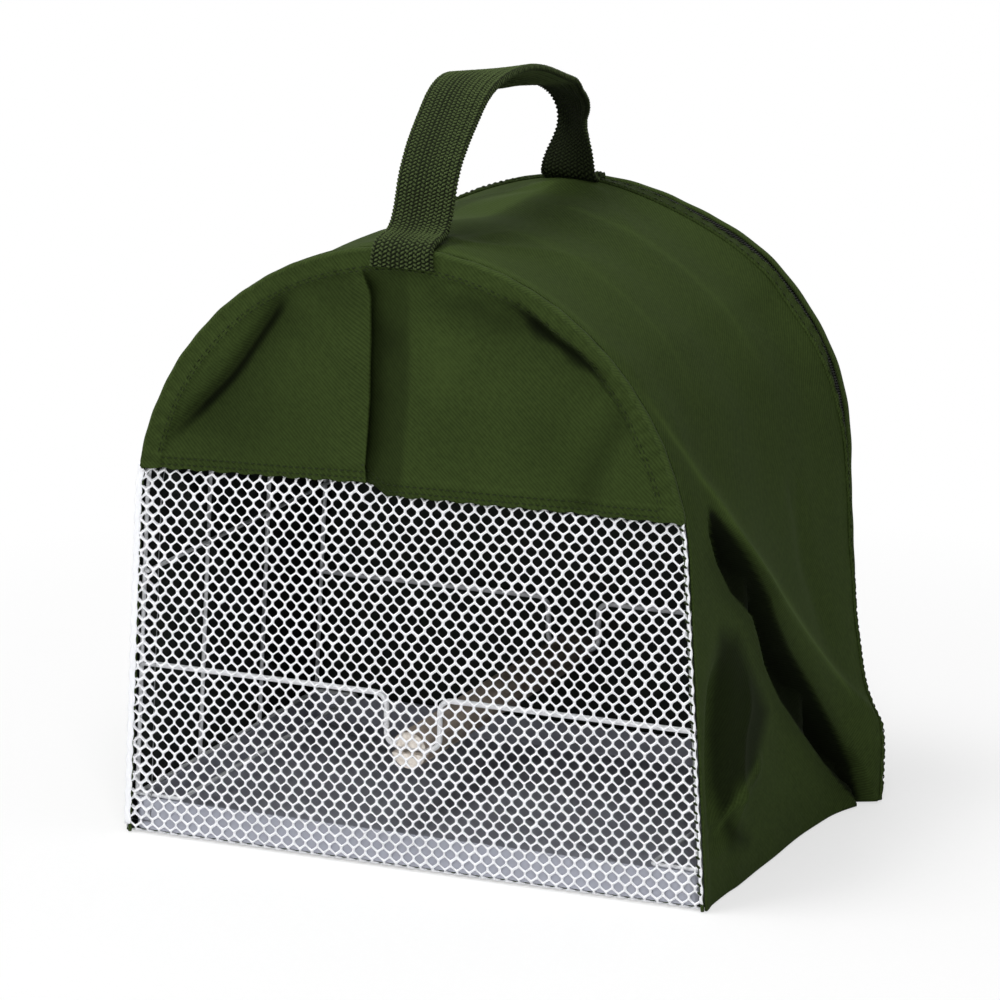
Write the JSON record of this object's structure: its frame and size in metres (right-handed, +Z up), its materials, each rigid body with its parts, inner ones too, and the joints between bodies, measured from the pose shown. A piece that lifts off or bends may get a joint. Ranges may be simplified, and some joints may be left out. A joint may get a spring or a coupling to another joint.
{
  "type": "bird travel carrier",
  "caption": "Soft-sided arched travel carrier for small birds: zipped cloth cover with a mesh front over a wire cage with tray, perch and webbing handle.",
  "frame": {"origin": "middle of the base, on the surface the carrier stands on", "axes": "+X to the right seen from the mesh front, +Y towards the zipped rear door, +Z up"},
  "size_m": [0.3002, 0.213, 0.36],
  "materials": {
    "cover_cloth": "woven polyester, low sheen",
    "window_mesh": "open polyester net",
    "zip_tape": "woven tape",
    "zip_coil": "nylon coil",
    "zip_metal": "satin metal",
    "webbing": "thick herringbone webbing",
    "cage_wire": "white powder coat",
    "perch_wood": "bare sanded wood",
    "tray_plastic": "moulded plastic"
  },
  "bodies": {
    "carrier": {"front_panel": "cover_cloth", "front_mesh": "window_mesh", "mesh_side_hems": "window_mesh", "front_piping": "cover_cloth", "gusset": "cover_cloth", "zip_hem_band": "cover_cloth", "bottom_panel": "cover_cloth", "zip_tape_body": "zip_tape", "zip_coil_body": "zip_coil", "zip_end_stops": "zip_metal", "handle_root_front": "webbing", "handle_root_rear": "webbing", "hoop_front": "cage_wire", "hoop_second": "cage_wire", "hoop_third": "cage_wire", "hoop_rear": "cage_wire", "side_tie_left": "cage_wire", "side_tie_right": "cage_wire", "foot_loop_left": "cage_wire", "foot_loop_right": "cage_wire", "perch_rail_front": "cage_wire", "perch_rail_rear": "cage_wire", "tray": "tray_plastic"},
    "rear_door": {"rear_panel": "cover_cloth", "rear_panel_rim": "cover_cloth", "zip_tape_door": "zip_tape", "zip_coil_door": "zip_coil"},
    "slider": {"zip_slider": "zip_metal"},
    "pull": {"zip_pull": "zip_metal"},
    "handle": {"handle_strap": "webbing"},
    "perch": {"perch": "perch_wood"}
  },
  "joints": [
    {"name": "rear_door_hinge", "type": "hinge", "parent": "carrier", "child": "rear_door", "pos_m": [0, 0.108, 0], "axis": [-1, 0, 0], "range_deg": [0, 90]},
    {"name": "zip_slide", "type": "slide", "parent": "carrier", "child": "slider", "axis": [-0.0569, 0, 0.9984], "range_m": [0, 0.12]},
    {"name": "zip_pull_hinge", "type": "hinge", "parent": "slider", "child": "pull", "pos_m": [0.14917, 0.101, 0.02214], "axis": [0, -1, 0], "range_deg": [0, 150]},
    {"name": "handle_swing", "type": "hinge", "parent": "carrier", "child": "handle", "pos_m": [0, 0, 0.313], "axis": [0, 1, 0], "range_deg": [-60, 60], "stiffness_Nm_per_rad": 0.02},
    {"name": "perch_slide", "type": "slide", "parent": "carrier", "child": "perch", "axis": [0, 1, 0], "range_m": [0, 0.007]}
  ]
}
